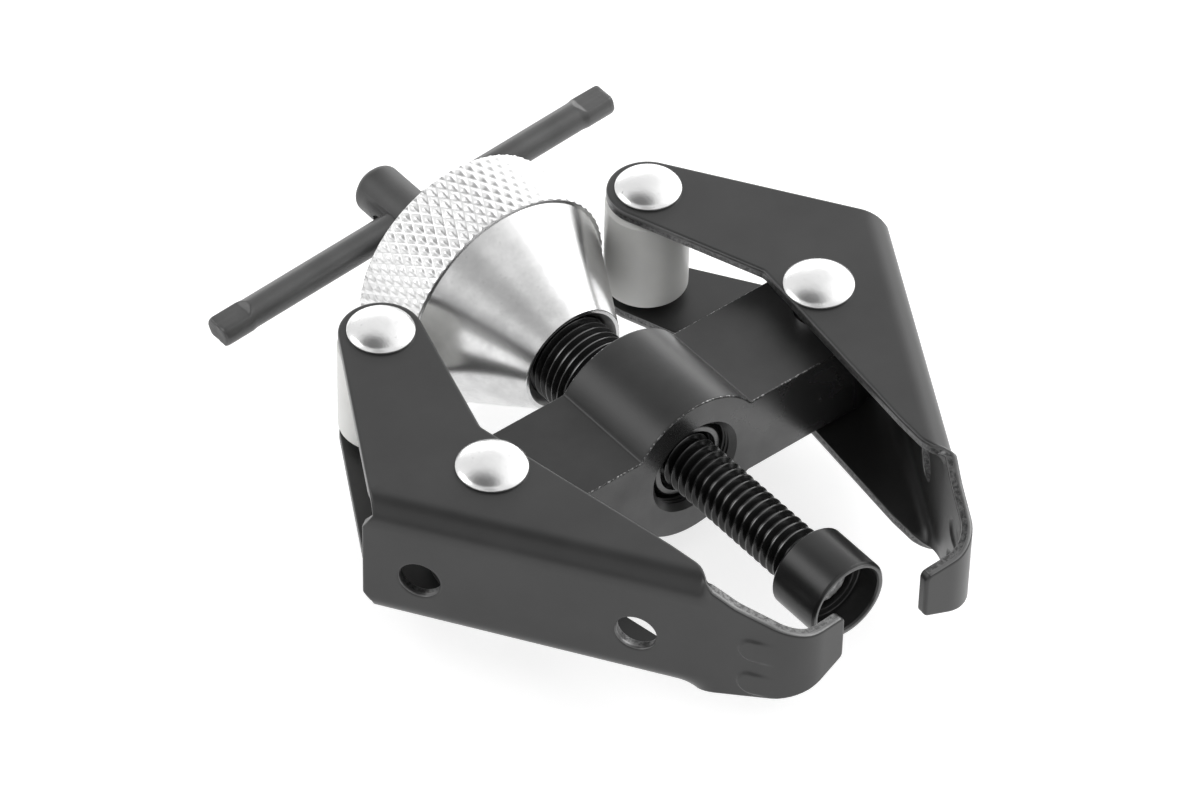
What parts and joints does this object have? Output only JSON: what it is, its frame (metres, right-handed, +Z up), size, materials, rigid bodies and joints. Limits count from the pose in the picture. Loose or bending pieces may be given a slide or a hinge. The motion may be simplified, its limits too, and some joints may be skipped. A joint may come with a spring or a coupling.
{
  "type": "two-jaw puller",
  "caption": "Hand puller with hooked sheet-metal jaws on a crossbar, spread and closed by a knurled cone on a hollow screw, with a forcing screw, swivel cup and sliding bar.",
  "frame": {"origin": "on the screw axis at the middle of the crossbar", "axes": "+Y along the screw axis from the jaws towards the sliding bar, +X along the crossbar towards the right pivot, +Z up, along the arm pivots"},
  "size_m": [0.114, 0.1361, 0.0422],
  "materials": {
    "crossbar_steel": "black oxide, satin",
    "arm_steel": "black oxide, satin, with grey sheared edges",
    "screw_steel": "black oxide, oiled",
    "cup_steel": "black oxide, turned",
    "bar_steel": "dark phosphate",
    "zinc_cone": "bright zinc plate, turned, with a diamond knurl",
    "zinc_rivet": "bright zinc plate",
    "nylon": "natural white nylon"
  },
  "bodies": {
    "frame": {"crossbar": "crossbar_steel"},
    "hollow_screw": {"threaded_sleeve": "screw_steel"},
    "cone": {"knurled_cone": "zinc_cone"},
    "left_jaw": {"left_arm": "arm_steel", "left_pivot_rivet": "zinc_rivet", "left_roller_rivet": "zinc_rivet"},
    "right_jaw": {"right_arm": "arm_steel", "right_pivot_rivet": "zinc_rivet", "right_roller_rivet": "zinc_rivet"},
    "left_wheel": {"left_roller": "nylon"},
    "right_wheel": {"right_roller": "nylon"},
    "cup": {"pressure_cup": "cup_steel"},
    "forcing_screw": {"spindle": "screw_steel"},
    "sliding_bar": {"tommy_bar": "bar_steel"}
  },
  "joints": [
    {"name": "sleeve_travel", "type": "slide", "parent": "frame", "child": "hollow_screw", "axis": [0, 1, 0], "range_m": [0, 0.014]},
    {"name": "cone_turn", "type": "hinge", "parent": "hollow_screw", "child": "cone", "pos_m": [0, 0.045, 0], "axis": [0, 1, 0], "range_deg": [0, 3360]},
    {"name": "left_arm_swing", "type": "hinge", "parent": "frame", "child": "left_jaw", "pos_m": [-0.035, 0, 0], "axis": [0, 0, 1], "range_deg": [-14, 0]},
    {"name": "right_arm_swing", "type": "hinge", "parent": "frame", "child": "right_jaw", "pos_m": [0.035, 0, 0], "axis": [0, 0, 1], "range_deg": [0, 14]},
    {"name": "left_roller_spin", "type": "hinge", "parent": "left_jaw", "child": "left_wheel", "pos_m": [-0.02975, 0.03642, 0], "axis": [0, 0, 1], "continuous": true},
    {"name": "right_roller_spin", "type": "hinge", "parent": "right_jaw", "child": "right_wheel", "pos_m": [0.02747, 0.03602, 0], "axis": [0, 0, 1], "continuous": true},
    {"name": "spindle_travel", "type": "slide", "parent": "hollow_screw", "child": "cup", "axis": [0, 1, 0], "range_m": [-0.002, 0.02625]},
    {"name": "spindle_turn", "type": "hinge", "parent": "cup", "child": "forcing_screw", "pos_m": [0, 0, 0], "axis": [0, 1, 0], "range_deg": [-411.4, 5400]},
    {"name": "tommy_bar_slide", "type": "slide", "parent": "forcing_screw", "child": "sliding_bar", "axis": [0.9968, 0, 0.0802], "range_m": [-0.0315, 0.0295]}
  ],
  "couplings": [
    {"joint": "sleeve_travel", "follows": "cone_turn", "m_per_rad": 0.00023873},
    {"joint": "left_arm_swing", "follows": "cone_turn", "ratio": -0.0041667},
    {"joint": "right_arm_swing", "follows": "cone_turn", "ratio": 0.0041667},
    {"joint": "spindle_travel", "follows": "spindle_turn", "m_per_rad": 0.00027852}
  ]
}
